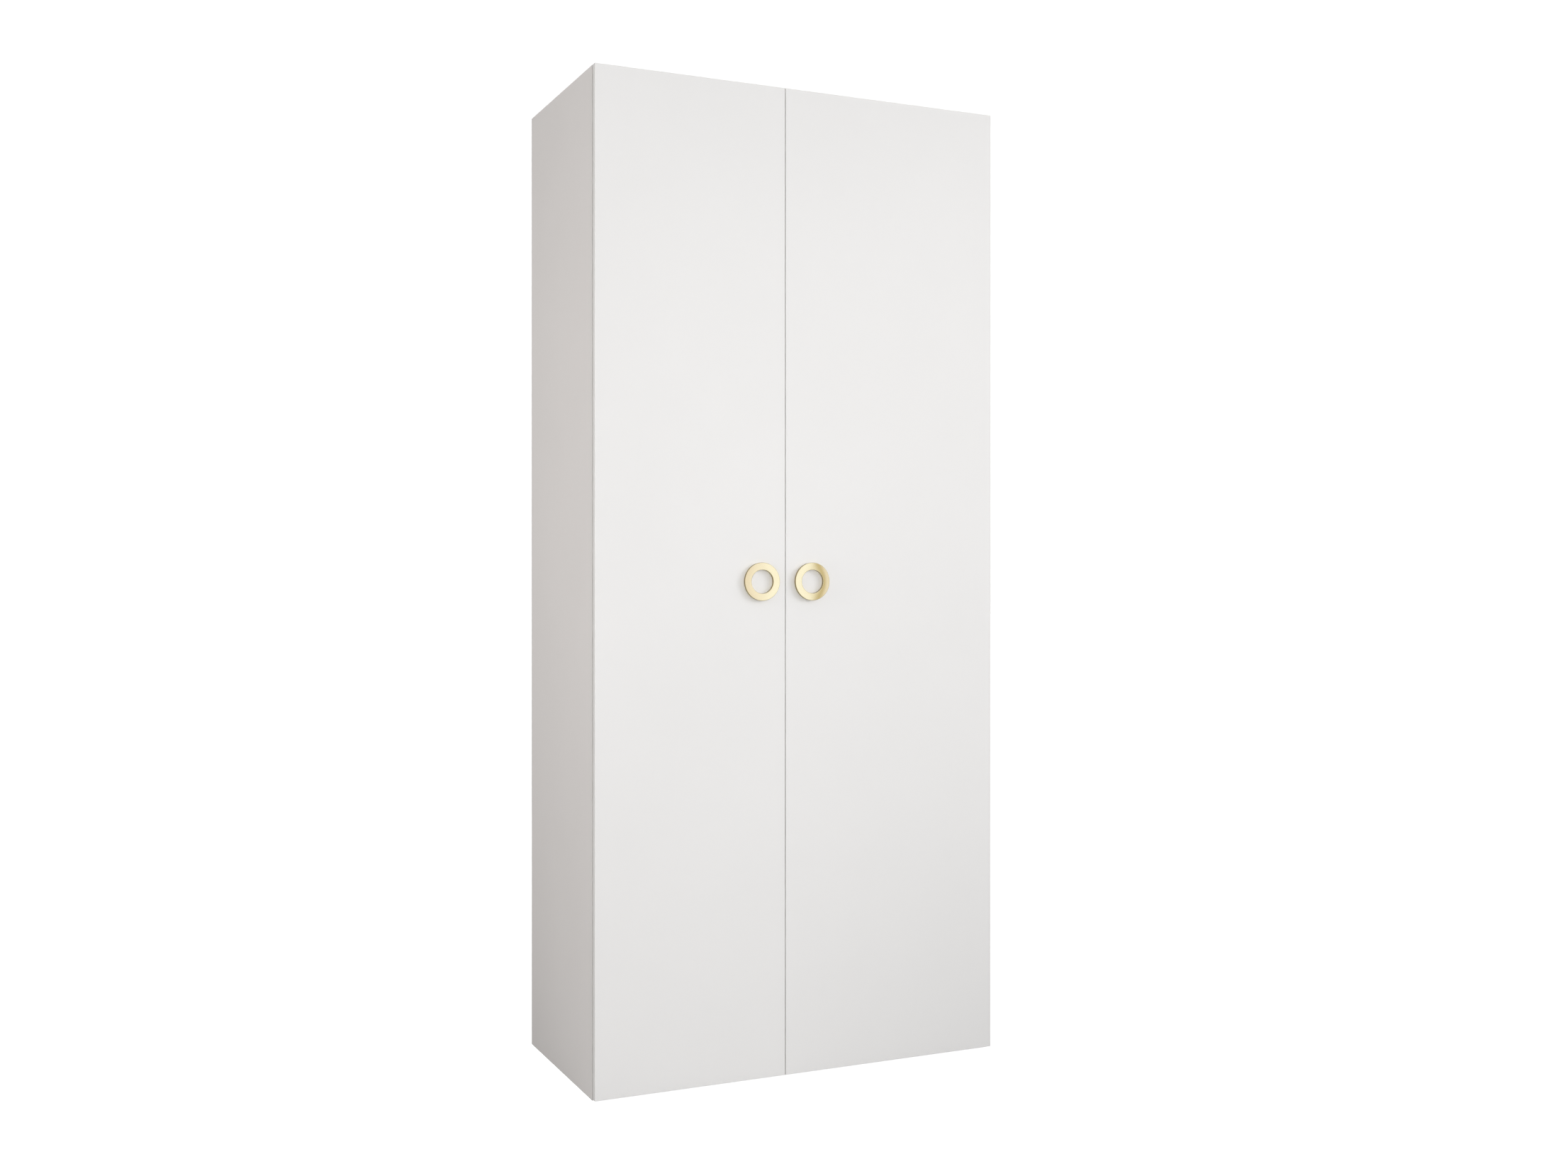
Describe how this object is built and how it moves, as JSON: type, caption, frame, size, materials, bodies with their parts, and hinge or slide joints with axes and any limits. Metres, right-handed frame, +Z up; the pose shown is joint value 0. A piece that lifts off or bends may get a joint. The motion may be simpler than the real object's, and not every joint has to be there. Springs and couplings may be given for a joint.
{
  "type": "two-door hinged wardrobe",
  "caption": "Tall plain white wardrobe with flush overlay hinged doors of unequal width and a flat gold ring handle on each.",
  "frame": {"origin": "bottom centre of the whole wardrobe, on the floor", "axes": "+Z up; the doors face -Y and the back faces +Y; +X is to the right for someone who faces the doors"},
  "size_m": [1, 0.503, 2.25],
  "materials": {
    "door_board": "matt white melamine",
    "carcass_board": "matt white melamine",
    "back_hardboard": "white lacquered hardboard",
    "handle_metal": "satin pale gold",
    "hinge_nickel": "nickel plated steel",
    "rail_metal": "chromed steel tube",
    "zinc_steel": "zinc plated steel",
    "bumper": "clear soft plastic"
  },
  "bodies": {
    "carcass": {"back_panel_left": "back_hardboard", "back_panel_right": "back_hardboard", "bottom_panel": "carcass_board", "hanging_rail": "rail_metal", "hat_shelf": "carcass_board", "left_bottom_hinge_arm": "hinge_nickel", "left_bottom_hinge_plate": "zinc_steel", "left_lower_hinge_arm": "hinge_nickel", "left_lower_hinge_plate": "zinc_steel", "left_shelf_1": "carcass_board", "left_shelf_2": "carcass_board", "left_shelf_3": "carcass_board", "left_shelf_4": "carcass_board", "left_side_panel": "carcass_board", "left_top_hinge_arm": "hinge_nickel", "left_top_hinge_plate": "zinc_steel", "left_upper_hinge_arm": "hinge_nickel", "left_upper_hinge_plate": "zinc_steel", "left_wall_angle": "zinc_steel", "partition": "carcass_board", "plinth_front": "carcass_board", "plinth_rear": "carcass_board", "rail_socket_left": "rail_metal", "rail_socket_right": "rail_metal", "right_bottom_hinge_arm": "hinge_nickel", "right_bottom_hinge_plate": "zinc_steel", "right_low_shelf": "carcass_board", "right_lower_hinge_arm": "hinge_nickel", "right_lower_hinge_plate": "zinc_steel", "right_side_panel": "carcass_board", "right_top_hinge_arm": "hinge_nickel", "right_top_hinge_plate": "zinc_steel", "right_upper_hinge_arm": "hinge_nickel", "right_upper_hinge_plate": "zinc_steel", "right_wall_angle": "zinc_steel", "top_panel": "carcass_board"},
    "left_door": {"left_bottom_hinge_cup": "hinge_nickel", "left_bumper_bottom": "bumper", "left_bumper_top": "bumper", "left_door": "door_board", "left_handle_screw_1": "zinc_steel", "left_handle_screw_2": "zinc_steel", "left_lower_hinge_cup": "hinge_nickel", "left_ring_handle": "handle_metal", "left_top_hinge_cup": "hinge_nickel", "left_upper_hinge_cup": "hinge_nickel"},
    "right_door": {"right_bottom_hinge_cup": "hinge_nickel", "right_bumper_bottom": "bumper", "right_bumper_top": "bumper", "right_door": "door_board", "right_handle_screw_1": "zinc_steel", "right_handle_screw_2": "zinc_steel", "right_lower_hinge_cup": "hinge_nickel", "right_ring_handle": "handle_metal", "right_top_hinge_cup": "hinge_nickel", "right_upper_hinge_cup": "hinge_nickel"}
  },
  "joints": [
    {"name": "left_door_hinge", "type": "hinge", "parent": "carcass", "child": "left_door", "pos_m": [-0.4925, -0.231, 1.1265], "axis": [0, 0, -1], "range_deg": [0, 100]},
    {"name": "right_door_hinge", "type": "hinge", "parent": "carcass", "child": "right_door", "pos_m": [0.4925, -0.231, 1.1265], "axis": [0, 0, 1], "range_deg": [0, 100]}
  ]
}
